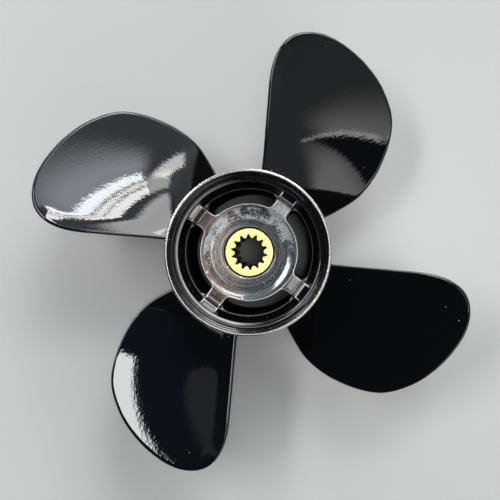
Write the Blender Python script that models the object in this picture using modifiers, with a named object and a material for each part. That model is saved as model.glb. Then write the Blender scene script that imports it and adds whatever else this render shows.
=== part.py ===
# Four-bladed outboard propeller, 9 1/4 in across and 8 in pitch, with its exhaust passage through the hub.
# Metres, +Z up. The origin is on the shaft axis in the plane of the barrel's forward end, which rests on
# the floor, and +Z points aft. Blade 1 runs out over +X and +Y, with its trailing edge anticlockwise.

import math

import bmesh
import bpy
from mathutils import Vector
from mathutils.geometry import interpolate_bezier

MM = 0.001
SEGMENTS = 72  # facets round each turned piece
GAP = 0.3 * MM  # between cast pieces that touch
WELD = 0.005 * MM  # points closer than this become one
CREASE = 35  # edges sharper than this stay hard
BLADES = 4

# Blade: a right-hand screw surface that leans aft a little towards its tip
PITCH = 203 * MM  # travel in one turn
RAKE = 0.08  # aft per unit of radius
DATUM_ANGLE = 43.5  # the screw surface passes through this angle, radius and height
DATUM_RADIUS = 79.2 * MM
DATUM_HEIGHT = 47.5 * MM
ROOT_THICKNESS = 8.8 * MM
TIP_THICKNESS = 3.2 * MM
EDGE_THICKNESS = 2.0 * MM
EDGE_INSET = 0.75 * MM  # the faces stop this far inside the rounded edge
TAPER_POWER = 1.3  # how the thickness falls from root to tip
TIP_FADE = 0.25  # share of the span over which the belly thins out to the tip's edge
TIP_FADE_POWER = 0.6
CUP = 1.2 * MM  # the trailing edge turns aft by this much
CUP_WIDTH = 11 * MM
FILLET = 5.4 * MM  # between the blade and the barrel
FILLET_LIMIT = 0.98  # share of the fillet that is used, because its foot would run out flat
TIP_RADIUS = 117.5 * MM
ROOT_ROWS = (-3.0, 0.2, 1.0, 2.7, 5.4)  # first rows of the blade, in millimetres off the barrel
CHORD_STEPS = 14
SPAN_STEPS = 11
CURVE_STEPS = 17  # points between two of the outline's pairs

# Blade outline seen from aft, as (angle, radius in millimetres): up the leading edge, round the tip and
# down the trailing edge
LEADING_EDGE = ((15.5, 36.7), (15.9, 49.2), (18.4, 65.9), (24.8, 82.8), (33.2, 99.9))
TIP_EDGE = (
    (33.2, 99.9),
    (41.3, 108.7),
    (49.3, 114.0),
    (57.3, 117.2),
    (63.6, 117.5),
    (69.0, 113.8),
    (72.6, 106.1),
)
TRAILING_EDGE = ((72.6, 106.1), (74.5, 94.1), (74.4, 75.3), (73.0, 49.9), (72.0, 36.7))

# Hub, all turned about the shaft
BARREL_FRONT_RADIUS = 35.4 * MM
BARREL_WAIST_RADIUS = 36.7 * MM
BARREL_WAIST_HEIGHT = 50 * MM
BARREL_BACK_RADIUS = 37.7 * MM
BARREL_BACK_HEIGHT = 73.4 * MM
BARREL_BORE = 31.9 * MM
BARREL_BORE_HEIGHT = 67.5 * MM  # above this the bore opens out as a cone
SHOULDER_RADIUS = 35.3 * MM
SHOULDER_HEIGHT = 78.4 * MM
FRONT_CHAMFER = 0.8 * MM
ROOT_CUTTER_DEPTH = 7 * MM

FLARE_RADIUS = 41.0 * MM
FLARE_HEIGHT = 87.2 * MM
RIM_THICKNESS = 2.0 * MM
RIM_FACETS = 6
# Flare profile as (radius, height) in millimetres: down its outside, then up the stepped mouth inside
FLARE_OUTSIDE = ((40.7, 83.4), (39.3, 80.5), (38.2, 76.8))
FLARE_INSIDE = ((35.3, 78.2), (36.1, 78.6), (36.9, 79.5), (37.3, 82.1), (38.3, 83.7), (38.8, 84.9))

INNER_HUB_RADIUS = 24.6 * MM
INNER_HUB_FRONT = 8.3 * MM
INNER_HUB_BACK = 69.2 * MM
HUB_FACE_DISH = 2.2 * MM  # the cast face is this much lower at its bore
DISH_MIDDLE_RISE = 0.15  # share of the dish already risen halfway out
HUB_FACE_THICKNESS = 10.3 * MM  # at its bore
HUB_BORE = 12.9 * MM
RUBBER_SOCKET = 18.8 * MM
HUB_EDGE = 0.8 * MM  # chamfer on the inner hub's edges
BORE_EDGE = 0.5 * MM

SLEEVE_RADIUS = 12.2 * MM
SLEEVE_FRONT = 5.8 * MM
SLEEVE_BACK = 64.6 * MM
SLEEVE_SIDES = 56
SPLINE_TEETH = 14
SPLINE_INNER = 7.3 * MM
SPLINE_OUTER = 9.2 * MM
SPLINE_PHASE = 7.3
NOTCH_MOUTH = 0.62  # share of the pitch that each notch takes at the spline's inner radius
NOTCH_FLOOR = 0.16
RUBBER_FRONT = 10.8 * MM
RUBBER_EDGE = 1.3 * MM

RIB_WIDTH = 8.7 * MM
RIB_FILLET = 2.8 * MM
RIB_FRONT = 13.3 * MM
RIB_BACK = 68.9 * MM
RIB_ANGLE = 45
RIB_ARC_STEPS = 8
FILLET_SWEEP = 0.85  # of a quarter turn, so that the rib's corners keep some thickness

LEDGE_FOOT_RADIUS = 30.2 * MM
LEDGE_TOP_RADIUS = 31.7 * MM
LEDGE_TOP = 75.9 * MM
LEDGE_EDGE = 0.8 * MM
LEDGE_CLEARANCE = 0.35 * MM  # off the cone, measured across


def polar(radius, degrees, height=0.0):
    angle = math.radians(degrees)
    return Vector((radius * math.cos(angle), radius * math.sin(angle), height))


def clear_scene():
    for obj in list(bpy.data.objects):
        bpy.data.objects.remove(obj, do_unlink=True)


def collection(name):
    group = bpy.data.collections.new(name)
    bpy.context.scene.collection.children.link(group)
    return group


def finish(name, colour, roughness, metallic):
    material = bpy.data.materials.new(name)
    material.use_nodes = True
    shader = material.node_tree.nodes["Principled BSDF"]
    shader.inputs["Base Color"].default_value = (*colour, 1.0)
    shader.inputs["Roughness"].default_value = roughness
    shader.inputs["Metallic"].default_value = metallic
    return material


def add_object(name, data, group):
    obj = bpy.data.objects.new(name, data)
    group.objects.link(obj)
    return obj


def turned(name, profile, group):
    """A closed profile of (radius, height) turned about the shaft. It runs down its outer side first."""
    mesh = bpy.data.meshes.new(name)
    points = [(radius, 0.0, height) for radius, height in profile]
    edges = [(i, (i + 1) % len(points)) for i in range(len(points))]
    mesh.from_pydata(points, edges, [])
    obj = add_object(name, mesh, group)
    screw = obj.modifiers.new("turn", "SCREW")
    screw.axis = "Z"
    screw.angle = math.radians(360)
    screw.steps = SEGMENTS
    screw.render_steps = SEGMENTS
    screw.use_merge_vertices = True
    screw.merge_threshold = WELD
    screw.use_smooth_shade = True
    return obj


def prism(name, outlines, bottom, top, group):
    """Flat outlines, the first one round the others, raised from one height to another."""
    curve = bpy.data.curves.new(name, "CURVE")
    curve.dimensions = "2D"
    curve.fill_mode = "BOTH"
    curve.extrude = (top - bottom) / 2
    for outline in outlines:
        spline = curve.splines.new("POLY")
        spline.points.add(len(outline) - 1)
        for point, corner in zip(spline.points, outline):
            point.co = (corner.x, corner.y, 0.0, 1.0)
        spline.use_cyclic_u = True
    obj = add_object(name, curve, group)
    obj.location.z = (top + bottom) / 2
    return obj


def baked(obj):
    """The object's evaluated mesh, welded. The object itself is removed."""
    bpy.context.view_layer.update()
    graph = bpy.context.evaluated_depsgraph_get()
    mesh = bpy.data.meshes.new_from_object(obj.evaluated_get(graph))
    mesh.transform(obj.matrix_world)
    bpy.data.objects.remove(obj, do_unlink=True)
    shape = bmesh.new()
    shape.from_mesh(mesh)
    bmesh.ops.remove_doubles(shape, verts=shape.verts, dist=WELD)
    shape.to_mesh(mesh)
    shape.free()
    return mesh


def shade(mesh, material):
    mesh.materials.clear()
    mesh.materials.append(material)
    mesh.shade_smooth()
    mesh.set_sharp_from_angle(angle=math.radians(CREASE))


def round_the_shaft(name, mesh, first_angle, count, group):
    """Copies of one mesh, each its own object, spaced evenly about the shaft."""
    for k in range(count):
        obj = add_object(f"{name}_{k + 1}", mesh, group)
        obj.rotation_euler.z = math.radians(first_angle + k * 360 / count)


def smooth_edge(points, before, after):
    """Points on a smooth curve through (angle, radius) pairs, which runs on to the pairs before and after."""
    through = [polar(radius * MM, angle) for angle, radius in points]
    first = polar(before[1] * MM, before[0]) if before else through[0] * 2 - through[1]
    last = polar(after[1] * MM, after[0]) if after else through[-1] * 2 - through[-2]
    around = [first, *through, last]
    curve = []
    for i in range(1, len(around) - 2):
        p0, p1, p2, p3 = around[i - 1 : i + 3]
        span = (p2 - p1).length
        out_handle = p1 + (p2 - p0).normalized() * span / 3
        in_handle = p2 - (p3 - p1).normalized() * span / 3
        piece = interpolate_bezier(p1, out_handle, in_handle, p2, CURVE_STEPS)
        curve += piece if not curve else piece[1:]
    return curve


def along(curve, share):
    """The point at this share of a curve's length."""
    lengths = [0.0]
    for a, b in zip(curve, curve[1:]):
        lengths.append(lengths[-1] + (b - a).length)
    wanted = share * lengths[-1]
    for i in range(1, len(curve)):
        if lengths[i] >= wanted - 1e-12:
            part = (wanted - lengths[i - 1]) / (lengths[i] - lengths[i - 1])
            return curve[i - 1].lerp(curve[i], part)
    return curve[-1]


def blade_sides():
    """The outline's leading edge, tip edge and trailing edge, the last one from hub to tip."""
    leading = smooth_edge(LEADING_EDGE, None, TIP_EDGE[1])
    tip = smooth_edge(TIP_EDGE, LEADING_EDGE[-2], TRAILING_EDGE[1])
    trailing = smooth_edge(TRAILING_EDGE, TIP_EDGE[-2], None)
    return leading, tip, trailing[::-1]


def screw_height(degrees, radius):
    turn = (degrees - DATUM_ANGLE) / 360
    return DATUM_HEIGHT + turn * PITCH + RAKE * (radius - DATUM_RADIUS)


def off_surface(point, rise):
    """A plan point put on the screw surface, then moved at right angles to its helix. Rise is aft."""
    radius = math.hypot(point.x, point.y)
    degrees = math.degrees(math.atan2(point.y, point.x))
    slope = math.atan(PITCH / (2 * math.pi * radius))
    height = screw_height(degrees, radius) + rise * math.cos(slope)
    degrees -= math.degrees(rise * math.sin(slope) / radius)
    return degrees, radius, height


def blade_thickness(radius):
    share = min(1.0, (radius - BARREL_WAIST_RADIUS) / (TIP_RADIUS - BARREL_WAIST_RADIUS))
    return TIP_THICKNESS + (ROOT_THICKNESS - TIP_THICKNESS) * (1 - share) ** TAPER_POWER


def root_fillet(radius):
    """Extra thickness on each face where the blade meets the barrel."""
    clear = FILLET - (radius - BARREL_WAIST_RADIUS)
    if clear <= 0:
        return 0.0
    clear = min(clear, FILLET_LIMIT * FILLET)
    return FILLET - math.sqrt(FILLET**2 - clear**2)


def tip_fade(share):
    """How much of the belly's thickness is left at this share of the way to the tip edge."""
    return min(1.0, (1 - share) / TIP_FADE) ** TIP_FADE_POWER


def blade_mesh(name):
    """A loft between the blade's leading and trailing edges, with a rounded rim. Both faces are grids."""
    leading, tip, trailing = blade_sides()
    height = TIP_RADIUS - BARREL_WAIST_RADIUS
    rows = [step * MM / height for step in ROOT_ROWS]
    rows += [rows[-1] + (1 - rows[-1]) * k / SPAN_STEPS for k in range(1, SPAN_STEPS + 1)]
    even = [k / CHORD_STEPS for k in range(CHORD_STEPS + 1)]
    columns = [share / 2 + (1 - math.cos(math.pi * share)) / 4 for share in even]
    root_start, root_end = leading[0], trailing[0]
    root_angles = [math.degrees(math.atan2(p.y, p.x)) for p in (root_start, root_end)]

    def plan(s, t):
        root_angle = root_angles[0] + s * (root_angles[1] - root_angles[0])
        low = polar(BARREL_WAIST_RADIUS, root_angle)
        if t < 0:
            return polar(BARREL_WAIST_RADIUS + t * height, root_angle)
        high = along(tip, s)
        left = along(leading, t)
        right = along(trailing, t)
        corners = (1 - t) * ((1 - s) * root_start + s * root_end) + t * ((1 - s) * tip[0] + s * tip[-1])
        return (1 - s) * left + s * right + (1 - t) * low + t * high - corners

    outline = {}
    for i, s in enumerate(columns):
        for j, t in enumerate(rows):
            outline[i, j] = plan(s, t)
    last_i, last_j = len(columns) - 1, len(rows) - 1

    def inward(i, j):
        """The plan point, moved off the rim where it is on it."""
        point = outline[i, j]
        if i not in (0, last_i) and j != last_j:
            return point
        inner = outline[min(max(i, 1), last_i - 1), min(j, last_j - 1)]
        return point + (inner - point).normalized() * EDGE_INSET

    mesh = bpy.data.meshes.new(name)
    shape = bmesh.new()

    def vertex(point, rise):
        degrees, radius, height = off_surface(point, rise)
        return shape.verts.new(polar(radius, degrees, height))

    aft, fore = {}, {}
    for i, s in enumerate(columns):
        for j in range(len(rows)):
            point = inward(i, j)
            radius = point.length
            belly = 1 - (2 * s - 1) ** 2
            thick = EDGE_THICKNESS + (blade_thickness(radius) - EDGE_THICKNESS) * belly * tip_fade(rows[j])
            to_edge = (1 - s) * radius * math.radians(root_angles[1] - root_angles[0])
            cup = CUP * max(0.0, 1 - to_edge / CUP_WIDTH) ** 2
            extra = root_fillet(radius)
            aft[i, j] = vertex(point, cup + extra)
            fore[i, j] = vertex(point, cup - thick - extra)

    path = [(0, j) for j in range(last_j)]
    path += [(i, last_j) for i in range(last_i)]
    path += [(last_i, j) for j in range(last_j, -1, -1)]
    rim = []
    for i, j in path:
        middle = (aft[i, j].co + fore[i, j].co) / 2
        rim.append(shape.verts.new((outline[i, j].x, outline[i, j].y, middle.z)))

    for i in range(last_i):
        for j in range(last_j):
            shape.faces.new((aft[i, j], aft[i + 1, j], aft[i + 1, j + 1], aft[i, j + 1]))
            shape.faces.new((fore[i, j], fore[i, j + 1], fore[i + 1, j + 1], fore[i + 1, j]))
        shape.faces.new((fore[i, 0], fore[i + 1, 0], aft[i + 1, 0], aft[i, 0]))
    for k in range(len(path) - 1):
        here, there = path[k], path[k + 1]
        shape.faces.new((aft[here], aft[there], rim[k + 1], rim[k]))
        shape.faces.new((rim[k], rim[k + 1], fore[there], fore[here]))
    shape.faces.new((aft[0, 0], rim[0], fore[0, 0]))
    shape.faces.new((fore[last_i, 0], rim[-1], aft[last_i, 0]))
    bmesh.ops.recalc_face_normals(shape, faces=shape.faces)
    shape.to_mesh(mesh)
    shape.free()
    return mesh


def make_blades(material, group, cutters):
    """The blades, trimmed at the root so that they stand just off the barrel."""
    blade = add_object("blade", blade_mesh("blade"), group)
    profile = [
        (BARREL_BACK_RADIUS + GAP, BARREL_BACK_HEIGHT),
        (BARREL_WAIST_RADIUS + GAP, BARREL_WAIST_HEIGHT),
        (BARREL_FRONT_RADIUS + GAP, 0),
        (BARREL_FRONT_RADIUS - ROOT_CUTTER_DEPTH, 0),
        (BARREL_FRONT_RADIUS - ROOT_CUTTER_DEPTH, BARREL_BACK_HEIGHT),
    ]
    cutter = turned("root_cutter", profile, cutters)
    cutter.hide_render = True
    cutter.display_type = "WIRE"
    trim = blade.modifiers.new("trim", "BOOLEAN")
    trim.operation = "DIFFERENCE"
    trim.solver = "EXACT"
    trim.object = cutter
    mesh = baked(blade)
    shade(mesh, material)
    round_the_shaft("blade", mesh, 0, BLADES, group)


def make_barrel(material, group):
    profile = [
        (BARREL_BACK_RADIUS, BARREL_BACK_HEIGHT),
        (BARREL_WAIST_RADIUS, BARREL_WAIST_HEIGHT),
        (BARREL_FRONT_RADIUS, FRONT_CHAMFER),
        (BARREL_FRONT_RADIUS - FRONT_CHAMFER, 0),
        (BARREL_BORE, 0),
        (BARREL_BORE, BARREL_BORE_HEIGHT),
        (cone_radius(BARREL_BACK_HEIGHT), BARREL_BACK_HEIGHT),
    ]
    mesh = baked(turned("barrel", profile, group))
    shade(mesh, material)
    add_object("barrel", mesh, group)


def cone_radius(height):
    """The barrel's inner radius where its bore opens out towards the shoulder."""
    share = (height - BARREL_BORE_HEIGHT) / (SHOULDER_HEIGHT - BARREL_BORE_HEIGHT)
    return BARREL_BORE + share * (SHOULDER_RADIUS - BARREL_BORE)


def make_flare_ring(material, group):
    """The machined ring at the aft end: a shoulder, a stepped bell mouth and a rounded rim."""
    bottom = BARREL_BACK_HEIGHT + GAP
    rim_radius = RIM_THICKNESS / 2
    rim_centre = FLARE_RADIUS - rim_radius
    profile = []
    for k in range(RIM_FACETS + 1):
        angle = math.pi * (1 - k / RIM_FACETS)
        across = rim_centre + rim_radius * math.cos(angle)
        profile.append((across, FLARE_HEIGHT - rim_radius + rim_radius * math.sin(angle)))
    profile += [(radius * MM, height * MM) for radius, height in FLARE_OUTSIDE]
    profile += [(BARREL_BACK_RADIUS, bottom), (cone_radius(bottom), bottom)]
    profile += [(radius * MM, height * MM) for radius, height in FLARE_INSIDE]
    mesh = baked(turned("flare_ring", profile, group))
    shade(mesh, material)
    add_object("flare_ring", mesh, group)


def make_inner_hub(material, group):
    """The tube that holds the rubber, closed at the aft end by a dished face with a hole for the sleeve."""
    bore_top = INNER_HUB_BACK - HUB_FACE_DISH
    face_bottom = bore_top - HUB_FACE_THICKNESS
    profile = [
        (INNER_HUB_RADIUS - HUB_EDGE, INNER_HUB_BACK),
        (INNER_HUB_RADIUS, INNER_HUB_BACK - HUB_EDGE),
        (INNER_HUB_RADIUS, INNER_HUB_FRONT + HUB_EDGE),
        (INNER_HUB_RADIUS - HUB_EDGE, INNER_HUB_FRONT),
        (RUBBER_SOCKET + HUB_EDGE, INNER_HUB_FRONT),
        (RUBBER_SOCKET, INNER_HUB_FRONT + HUB_EDGE),
        (RUBBER_SOCKET, face_bottom),
        (HUB_BORE, face_bottom),
        (HUB_BORE, bore_top - BORE_EDGE),
        (HUB_BORE + BORE_EDGE, bore_top),
        ((INNER_HUB_RADIUS + HUB_BORE) / 2, bore_top + DISH_MIDDLE_RISE * HUB_FACE_DISH),
    ]
    mesh = baked(turned("inner_hub", profile, group))
    shade(mesh, material)
    add_object("inner_hub", mesh, group)


def make_rubber(material, group):
    outer = RUBBER_SOCKET - GAP
    inner = SLEEVE_RADIUS + GAP
    top = INNER_HUB_BACK - HUB_FACE_DISH - HUB_FACE_THICKNESS - GAP
    profile = [
        (outer, top),
        (outer, RUBBER_FRONT + RUBBER_EDGE),
        (outer - RUBBER_EDGE, RUBBER_FRONT),
        (inner, RUBBER_FRONT),
        (inner, top),
    ]
    mesh = baked(turned("rubber_bushing", profile, group))
    shade(mesh, material)
    add_object("rubber_bushing", mesh, group)


def make_sleeve(material, group):
    """The brass sleeve, with a notched spline through it for the propeller shaft."""
    outside = [polar(SLEEVE_RADIUS, k * 360 / SLEEVE_SIDES) for k in range(SLEEVE_SIDES)]
    spline = []
    pitch = 360 / SPLINE_TEETH
    for k in range(SPLINE_TEETH):
        middle = SPLINE_PHASE + k * pitch
        spline.append(polar(SPLINE_INNER, middle - NOTCH_MOUTH * pitch / 2))
        spline.append(polar(SPLINE_OUTER, middle - NOTCH_FLOOR * pitch / 2))
        spline.append(polar(SPLINE_OUTER, middle + NOTCH_FLOOR * pitch / 2))
        spline.append(polar(SPLINE_INNER, middle + NOTCH_MOUTH * pitch / 2))
    mesh = baked(prism("splined_sleeve", (outside, spline), SLEEVE_FRONT, SLEEVE_BACK, group))
    shade(mesh, material)
    add_object("splined_sleeve", mesh, group)


def corner_fillet(circle, fillet_centre_radius, steps=5):
    """Points from a rib's straight side round to the circle that it meets, on the side of positive Y."""
    middle_y = RIB_WIDTH / 2 + RIB_FILLET
    middle = Vector((math.sqrt(fillet_centre_radius**2 - middle_y**2), middle_y, 0))
    start = math.radians(-90)
    to_circle = middle.normalized() * (circle - fillet_centre_radius)
    end = math.atan2(to_circle.y, to_circle.x)
    if end - start > math.pi:
        end -= 2 * math.pi
    points = []
    for k in range(steps + 1):
        angle = start + (end - start) * FILLET_SWEEP * k / steps
        points.append(middle + RIB_FILLET * Vector((math.cos(angle), math.sin(angle), 0)))
    return points


def circle_arc(radius, start, end, steps):
    return [polar(radius, start + (end - start) * k / steps) for k in range(steps + 1)]


def rib_outline():
    """A spoke seen from aft: straight sides that open out in fillets at the hub and at the barrel."""
    hub = INNER_HUB_RADIUS + GAP
    barrel = BARREL_BORE - GAP
    hub_side = corner_fillet(hub, hub + RIB_FILLET)
    barrel_side = corner_fillet(barrel, barrel - RIB_FILLET)
    hub_end = math.degrees(math.atan2(hub_side[-1].y, hub_side[-1].x))
    barrel_end = math.degrees(math.atan2(barrel_side[-1].y, barrel_side[-1].x))
    mirrored_hub = [Vector((p.x, -p.y, 0)) for p in hub_side]
    mirrored_barrel = [Vector((p.x, -p.y, 0)) for p in barrel_side]
    outline = circle_arc(barrel, -barrel_end, barrel_end, RIB_ARC_STEPS)
    outline += barrel_side[::-1] + hub_side
    outline += circle_arc(hub, hub_end, -hub_end, RIB_ARC_STEPS)
    return outline + mirrored_hub[::-1] + mirrored_barrel


def make_ribs(material, group):
    mesh = baked(prism("rib", (rib_outline(),), RIB_FRONT, RIB_BACK, group))
    shade(mesh, material)
    round_the_shaft("rib", mesh, RIB_ANGLE, BLADES, group)


def make_ledges(material, group, cutters):
    """The raised step over the outer end of each rib, cut from a ring to the rib's width."""
    step = RIB_BACK + GAP
    top_edge = LEDGE_TOP - LEDGE_EDGE
    profile = [
        (cone_radius(top_edge) - LEDGE_CLEARANCE, top_edge),
        (cone_radius(step) - LEDGE_CLEARANCE, step),
        (LEDGE_FOOT_RADIUS, step),
        (LEDGE_TOP_RADIUS, top_edge),
        (LEDGE_TOP_RADIUS + LEDGE_EDGE, LEDGE_TOP),
        (cone_radius(LEDGE_TOP) - LEDGE_CLEARANCE - LEDGE_EDGE, LEDGE_TOP),
    ]
    ring = turned("ledge_ring", profile, group)
    middle = (BARREL_BORE + LEDGE_EDGE, 0, (step + LEDGE_TOP) / 2)
    size = (BARREL_BORE / 3, RIB_WIDTH, 2 * (LEDGE_TOP - step))
    bpy.ops.mesh.primitive_cube_add(size=1, location=middle, scale=size)
    block = bpy.context.object
    block.name = "ledge_block"
    for owner in list(block.users_collection):
        owner.objects.unlink(block)
    cutters.objects.link(block)
    block.hide_render = True
    block.display_type = "WIRE"
    cut = ring.modifiers.new("keep", "BOOLEAN")
    cut.operation = "INTERSECT"
    cut.solver = "EXACT"
    cut.object = block
    mesh = baked(ring)
    shade(mesh, material)
    round_the_shaft("ledge", mesh, RIB_ANGLE, BLADES, group)


def main():
    clear_scene()
    parts = collection("propeller")
    cutters = collection("cutters")
    black = finish("black_paint", (0.012, 0.014, 0.018), 0.2, 0.0)
    brass = finish("brass", (0.86, 0.74, 0.42), 0.3, 1.0)
    rubber = finish("rubber", (0.01, 0.01, 0.01), 0.7, 0.0)
    make_blades(black, parts, cutters)
    make_barrel(black, parts)
    make_flare_ring(black, parts)
    make_inner_hub(black, parts)
    make_ribs(black, parts)
    make_ledges(black, parts, cutters)
    make_rubber(rubber, parts)
    make_sleeve(brass, parts)


main()
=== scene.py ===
import math

import bmesh
import bpy
import numpy as np
from mathutils import Matrix, Vector


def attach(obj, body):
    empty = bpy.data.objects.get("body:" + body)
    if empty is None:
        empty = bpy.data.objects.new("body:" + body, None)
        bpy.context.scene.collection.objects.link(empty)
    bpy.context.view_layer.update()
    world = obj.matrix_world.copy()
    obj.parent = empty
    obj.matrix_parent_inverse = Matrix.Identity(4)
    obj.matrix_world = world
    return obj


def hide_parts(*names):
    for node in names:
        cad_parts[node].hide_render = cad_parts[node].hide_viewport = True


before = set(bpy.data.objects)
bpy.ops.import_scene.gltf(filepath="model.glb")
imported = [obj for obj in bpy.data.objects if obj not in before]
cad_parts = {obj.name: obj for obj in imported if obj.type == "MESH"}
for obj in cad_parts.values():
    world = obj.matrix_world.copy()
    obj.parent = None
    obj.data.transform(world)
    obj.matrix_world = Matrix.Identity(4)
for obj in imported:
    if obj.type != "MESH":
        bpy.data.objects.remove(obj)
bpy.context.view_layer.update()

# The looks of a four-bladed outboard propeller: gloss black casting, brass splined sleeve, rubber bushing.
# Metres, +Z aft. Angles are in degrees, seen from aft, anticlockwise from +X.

mm = 0.001  # in metres
bladeCount = 4
roundingLimit = 0.48  # share of a side that the rounding of one corner may use


def say(words):
    print("scene:", words)


# Helpers that the pieces share

def linkPiece(name, mesh):
    piece = bpy.data.objects.new(name, mesh)
    bpy.context.scene.collection.objects.link(piece)
    return piece


def seat(piece, slotName, *nodes):  # the piece rides on the one body and stands for its CAD nodes
    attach(piece, "root")
    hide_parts(*nodes)
    return piece


def cleanMesh(name, points, faces, weld=0.002 * mm):  # a welded mesh with its faces turned outward
    shape = bmesh.new()
    corners = [shape.verts.new(p) for p in points]
    for face in faces:
        shape.faces.new([corners[i] for i in face])
    bmesh.ops.remove_doubles(shape, verts=shape.verts, dist=weld)
    bmesh.ops.recalc_face_normals(shape, faces=shape.faces)
    mesh = bpy.data.meshes.new(name)
    shape.to_mesh(mesh)
    shape.free()
    mesh.shade_smooth()
    return mesh


def polar(radius, degrees):  # points in plan
    angle = np.radians(degrees)
    return np.stack([radius * np.cos(angle), radius * np.sin(angle)], axis=-1)


def roundCorners(corners, steps=6):  # corners are (radius, height, rounding) and go round a closed profile
    points = []
    for i, (x, y, rounding) in enumerate(corners):
        here = np.array((x, y))
        if not rounding:
            points.append(here)
            continue
        back = np.array(corners[i - 1][:2]) - here
        ahead = np.array(corners[(i + 1) % len(corners)][:2]) - here
        backLength, aheadLength = np.linalg.norm(back), np.linalg.norm(ahead)
        cosine = np.dot(back, ahead) / (backLength * aheadLength)
        half = math.acos(max(-1.0, min(1.0, cosine))) / 2
        reach = min(rounding / math.tan(half), roundingLimit * backLength, roundingLimit * aheadLength)
        start = here + back / backLength * reach
        end = here + ahead / aheadLength * reach
        for k in range(steps + 1):
            u = k / steps
            points.append((1 - u) ** 2 * start + 2 * u * (1 - u) * here + u * u * end)
    return points


def turnedMesh(name, corners, steps=288, crease=None):  # a closed profile turned about the shaft
    profile = roundCorners(corners)
    count = len(profile)
    points, faces = [], []
    for k in range(steps):
        angle = 2 * math.pi * k / steps
        points += [(p[0] * math.cos(angle), p[0] * math.sin(angle), p[1]) for p in profile]
    for k in range(steps):
        here, there = k * count, (k + 1) % steps * count
        for i in range(count):
            j = (i + 1) % count
            faces.append((here + i, here + j, there + j, there + i))
    mesh = cleanMesh(name, points, faces)
    if crease:
        mesh.set_sharp_from_angle(angle=math.radians(crease))
    return mesh


def rotatedCopy(mesh, degrees):
    copy = mesh.copy()
    copy.transform(Matrix.Rotation(math.radians(degrees), 4, "Z"))
    return copy


def prismMesh(name, outline, bottom, top):  # a flat closed outline raised from one height to another
    count = len(outline)
    points = [(x, y, bottom) for x, y in outline] + [(x, y, top) for x, y in outline]
    faces = [(i, (i + 1) % count, (i + 1) % count + count, i + count) for i in range(count)]
    faces += [tuple(range(count))[::-1], tuple(range(count, 2 * count))]
    return cleanMesh(name, points, faces)


# Blades: a screw surface trimmed to the outline, with a rounded edge, a cupped trailing edge and root fillets

blade = {
    "pitch": 203 * mm,
    "rake": 0.08,
    "throughAngle": 43.5,  # the screw surface passes through this place
    "throughRadius": 79.2 * mm,
    "throughHeight": 47.5 * mm,
    "rootThickness": 8.8 * mm,
    "tipThickness": 3.2 * mm,
    "taper": 1.3,  # how fast the thickness falls from root to tip
    "edgeThickness": 2.6 * mm,
    "edgeWidth": 1.5 * mm,  # how far in the rounding of the edge reaches
    "bellyWidth": 17 * mm,  # full thickness is reached this far in
    "cup": 0.9 * mm,
    "cupWidth": 9 * mm,
    "barrelRadius": 36.7 * mm,
    "tipRadius": 117.5 * mm,
    "fillet": 5.4 * mm,
    "filletShare": 0.98,  # the fillet stops just short of square to the barrel
    # the edges are (angle, radius in mm) pairs
    "leadingEdge": [(15.5, 34.6), (15.5, 36.7), (15.9, 49.2), (18.4, 65.9), (24.8, 82.8), (33.2, 99.9)],
    "tipEdge": [
        (33.2, 99.9), (41.3, 108.6), (49.3, 113.8), (57.3, 116.9), (63.6, 117.2), (69.0, 113.6), (72.6, 106.0),
    ],
    "trailingEdge": [(72.6, 106.0), (74.5, 94.1), (74.4, 75.3), (73.0, 49.9), (72.0, 36.7), (72.0, 34.6)],
    "spanSteps": 110,
    "chordSteps": 90,
    "roundingSteps": 7,
    "rimRings": (0.7 * mm, 1.7 * mm, 3.0 * mm),  # rings of points inside the rounding of the edge
}


def smoothCurve(pairs, before, after, steps=16):  # through (angle, radius in mm) pairs
    through = [polar(r * mm, a) for a, r in pairs]
    first = polar(before[1] * mm, before[0]) if before else 2 * through[0] - through[1]
    last = polar(after[1] * mm, after[0]) if after else 2 * through[-1] - through[-2]
    around = [first, *through, last]
    curve = []
    for i in range(1, len(around) - 2):
        p0, p1, p2, p3 = around[i - 1 : i + 3]
        reach = np.linalg.norm(p2 - p1) / 3
        out = p1 + (p2 - p0) / np.linalg.norm(p2 - p0) * reach
        back = p2 - (p3 - p1) / np.linalg.norm(p3 - p1) * reach
        for k in range(0 if not curve else 1, steps + 1):
            u = k / steps
            v = 1 - u
            curve.append(v**3 * p1 + 3 * u * v**2 * out + 3 * u**2 * v * back + u**3 * p2)
    return np.array(curve)


def evenly(curve, count):  # the curve cut into steps of one length
    lengths = np.concatenate([[0], np.cumsum(np.linalg.norm(np.diff(curve, axis=0), axis=1))])
    wanted = np.linspace(0, lengths[-1], count + 1)
    return np.stack([np.interp(wanted, lengths, curve[:, k]) for k in range(2)], axis=1)


def distanceTo(points, path):  # from each point to the nearest place on a path
    nearest = np.full(len(points), 1e9)
    for a, b in zip(path, path[1:]):
        along = b - a
        share = np.clip(((points - a) @ along) / (along @ along), 0, 1)
        away = points - a - share[:, None] * along
        nearest = np.minimum(nearest, np.hypot(away[:, 0], away[:, 1]))
    return nearest


def rootFillet(radius):  # extra thickness on each face next to the barrel
    fillet = blade["fillet"]
    clear = np.clip(fillet - (radius - blade["barrelRadius"]), 0, blade["filletShare"] * fillet)
    return fillet - np.sqrt(fillet**2 - clear**2)


def onScrew(plan, rise):  # plan points put on the screw surface, then moved square to its helix
    radius = np.hypot(plan[:, 0], plan[:, 1])
    angle = np.arctan2(plan[:, 1], plan[:, 0])
    slope = np.arctan(blade["pitch"] / (2 * math.pi * radius))
    turn = (np.degrees(angle) - blade["throughAngle"]) / 360
    height = blade["throughHeight"] + turn * blade["pitch"]
    height += blade["rake"] * (radius - blade["throughRadius"]) + rise * np.cos(slope)
    angle -= rise * np.sin(slope) / radius
    return np.stack([radius * np.cos(angle), radius * np.sin(angle), height], axis=1)


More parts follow.
